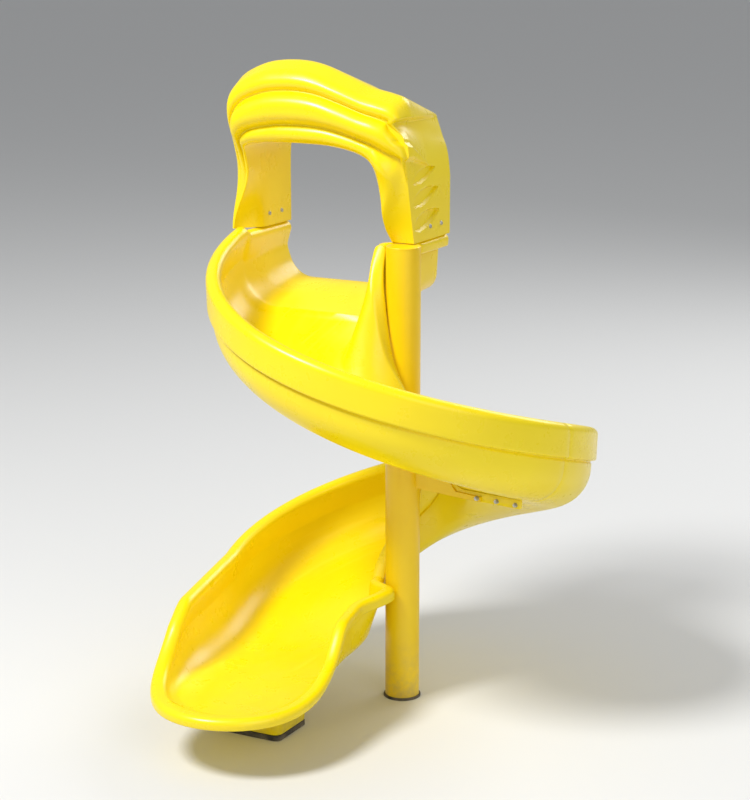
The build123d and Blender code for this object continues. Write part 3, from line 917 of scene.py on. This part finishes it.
def turnForm(name, outline, material, replaced):
    # outline is a closed chain of (radius, height)
    mesh = bmesh.new()
    verts = [mesh.verts.new((radius, 0, height)) for radius, height in outline]
    onAxis = outline[0][0] == 0
    pairs = list(zip(verts, verts[1:])) if onAxis else list(zip(verts, verts[1:] + verts[:1]))
    edges = [mesh.edges.new(pair) for pair in pairs]
    bmesh.ops.spin(mesh, geom=verts + edges, cent=(0, 0, 0), axis=(0, 0, 1), dvec=(0, 0, 0),
                   angle=math.tau, steps=column["sides"], use_merge=True, use_duplicate=False)
    closeForm(mesh)
    return finishPiece(name, mesh, material, replaced, 30)


radius, inside = column["radius"], column["radius"] - column["wall"]
bevel = column["capBevel"]
tubeSide = [(radius, height) for height in steps(0.05, column["top"] - 0.0008, 0.05)]
turnForm("columnTube", [(inside, 0), (radius, 0)] + tubeSide
         + [(radius - 0.0008, column["top"]), (inside, column["top"])],
         columnCoat, ["centre_column"])
arc = [(radius - bevel + bevel * math.sin(a), column["capTop"] - bevel + bevel * math.cos(a))
       for a in steps(0, math.pi / 2, 0.26)]
turnForm("columnCap", [(0, column["capTop"])] + arc + [(radius, column["top"] + 0.0006),
         (radius - 0.0006, column["top"]), (0, column["top"])], columnCoat, ["column_cap"])
# The ground ring is black as painted shade, standing in for the contact shadow round the column's foot
ringTop, ringRadius = column["ringTop"], column["ringRadius"]
turnForm("contactShadowRing", [(radius + 0.0001, 0), (ringRadius, 0), (ringRadius, ringTop - 0.003),
                        (ringRadius - 0.0009, ringTop - 0.0009), (ringRadius - 0.003, ringTop),
                        (radius + 0.0001, ringTop)], contactShadowRubber, ["column_ground_ring"])
print("column made")


# Foot block and pad

footBlock = {
    "centre": (-0.325, -0.523),
    "footSize": (0.304, 0.206),
    "headSize": (0.360, 0.250),
    "cornerRadius": 0.03,
    "padTop": 0.02,
    "top": 0.2048,
    "edgeRound": 0.006,
    "taper": 1.15,
}


def roundedRectangle(size, radius, height):
    places = []
    halfX, halfY = size[0] / 2 - radius, size[1] / 2 - radius
    for cornerX, cornerY, start in ((1, 1, 0), (-1, 1, 90), (-1, -1, 180), (1, -1, 270)):
        for turn in steps(0, 90, 10):
            out = polar(start + turn) * radius
            places.append(Vector((footBlock["centre"][0] + cornerX * halfX + out.x,
                                  footBlock["centre"][1] + cornerY * halfY + out.y, height)))
    return places


def stackedForm(name, levels, material, replaced):
    mesh = bmesh.new()
    stations = []
    for size, radius, height in levels:
        places = roundedRectangle(size, radius, height)
        stations.append(([(spot, index * 0.01, 0) for index, spot in enumerate(places)], height))
    for rim in sweepSkin(mesh, stations, True):
        capRim(mesh, rim)
    closeForm(mesh)
    return finishPiece(name, mesh, material, replaced, 30)


def blockSize(share, inset):
    sizes = zip(footBlock["footSize"], footBlock["headSize"])
    return [mix(low, high, share ** footBlock["taper"]) - 2 * inset for low, high in sizes]


def blockLevels():
    levels = []
    low, high, soft = footBlock["padTop"], footBlock["top"], footBlock["edgeRound"]
    for share in steps(0, 1, 0.1):
        height = mix(low, high, share)
        inset = soft * (1 - math.sqrt(max(0, 1 - max(0, 1 - (height - low) / soft) ** 2)))
        inset += soft * (1 - math.sqrt(max(0, 1 - max(0, 1 - (high - height) / soft) ** 2)))
        levels.append((blockSize(share, inset), footBlock["cornerRadius"], height))
    for share in (0.25, 0.5, 0.75, 1.0):
        for height in (low + soft * share, high - soft * share):
            part = (height - low) / (high - low)
            inset = soft * (1 - math.sqrt(1 - (1 - share) ** 2))
            levels.append((blockSize(part, inset), footBlock["cornerRadius"], height))
    return sorted(levels, key=lambda level: level[2])


# The black pad under the foot block is painted shade, standing in for the contact shadow beneath the block
padSize, padTop = footBlock["footSize"], footBlock["padTop"]
stackedForm("footBlockShell", blockLevels(), hoodPlastic, ["foot_block"])
stackedForm("contactShadowPad", [([v - 0.003 for v in padSize], 0.023, 0), (padSize, 0.024, 0.0015),
                        (padSize, 0.024, padTop - 0.0025), ([v - 0.005 for v in padSize], 0.022, padTop)],
            contactShadowRubber, ["foot_pad"])
print("foot made")


# Finishes on the parts that stay as the frame has them

for name, node in nodes.items():
    if name.endswith(("_bolts", "_washers", "_nuts", "_clamp_plate")):
        finish = zincSteel
    elif name.endswith("_inserts"):
        finish = insertBrass
    elif name.endswith(("_arm", "_foot_plate")):
        finish = columnCoat
    else:
        continue
    for materialSlot in node.material_slots:
        materialSlot.material = finish
print("hardware finished")


# Studio

studio = {
    "floorSize": 300.0,
    "floorColour": (0.72, 0.72, 0.71),
    "cameraPlace": (3.537, -6.881, 3.0),
    "lens": 98,
    "sky": 0.38,
    "key": ((-3.2, -6.0, 9.5), 3.0, 1150),
    "fill": ((6.5, -4.5, 4.0), 6.0, 150),
    "rim": ((1.5, 7.0, 6.0), 5.0, 260),
}

mesh = bmesh.new()
bmesh.ops.create_grid(mesh, x_segments=1, y_segments=1, size=studio["floorSize"] / 2)
floorData = bpy.data.meshes.new("studioFloor")
mesh.to_mesh(floorData)
mesh.free()
studioFloor = bpy.data.objects.new("studioFloor", floorData)
scene.collection.objects.link(studioFloor)
floorMaterial, _, floorShader = newMaterial("floorPaint")
floorShader.inputs["Base Color"].default_value = (*studio["floorColour"], 1)
floorShader.inputs["Roughness"].default_value = 0.7
floorData.materials.append(floorMaterial)

middle = (Vector(cadLow) + Vector(cadHigh)) / 2
for label in ("key", "fill", "rim"):
    place, size, power = studio[label]
    light = bpy.data.lights.new(label, "AREA")
    light.shape = "DISK"
    light.size = size
    light.energy = power
    lamp = bpy.data.objects.new(label, light)
    lamp.location = place
    lamp.rotation_euler = (middle - lamp.location).to_track_quat("-Z", "Y").to_euler()
    scene.collection.objects.link(lamp)

world = bpy.data.worlds.new("studioSky")
world.use_nodes = True
background = world.node_tree.nodes.get("Background") or world.node_tree.nodes.new("ShaderNodeBackground")
background.inputs["Color"].default_value = (0.95, 0.97, 1.0, 1)
background.inputs["Strength"].default_value = studio["sky"]
if not background.outputs["Background"].is_linked:
    worldOut = world.node_tree.nodes.new("ShaderNodeOutputWorld")
    world.node_tree.links.new(background.outputs["Background"], worldOut.inputs["Surface"])
scene.world = world
scene.view_settings.view_transform = "Standard"

camera = bpy.data.objects.new("camera", bpy.data.cameras.new("camera"))
camera.data.lens = studio["lens"]
camera.location = studio["cameraPlace"]
camera.rotation_euler = (middle - camera.location).to_track_quat("-Z", "Y").to_euler()
scene.collection.objects.link(camera)
scene.camera = camera
print("studio set")
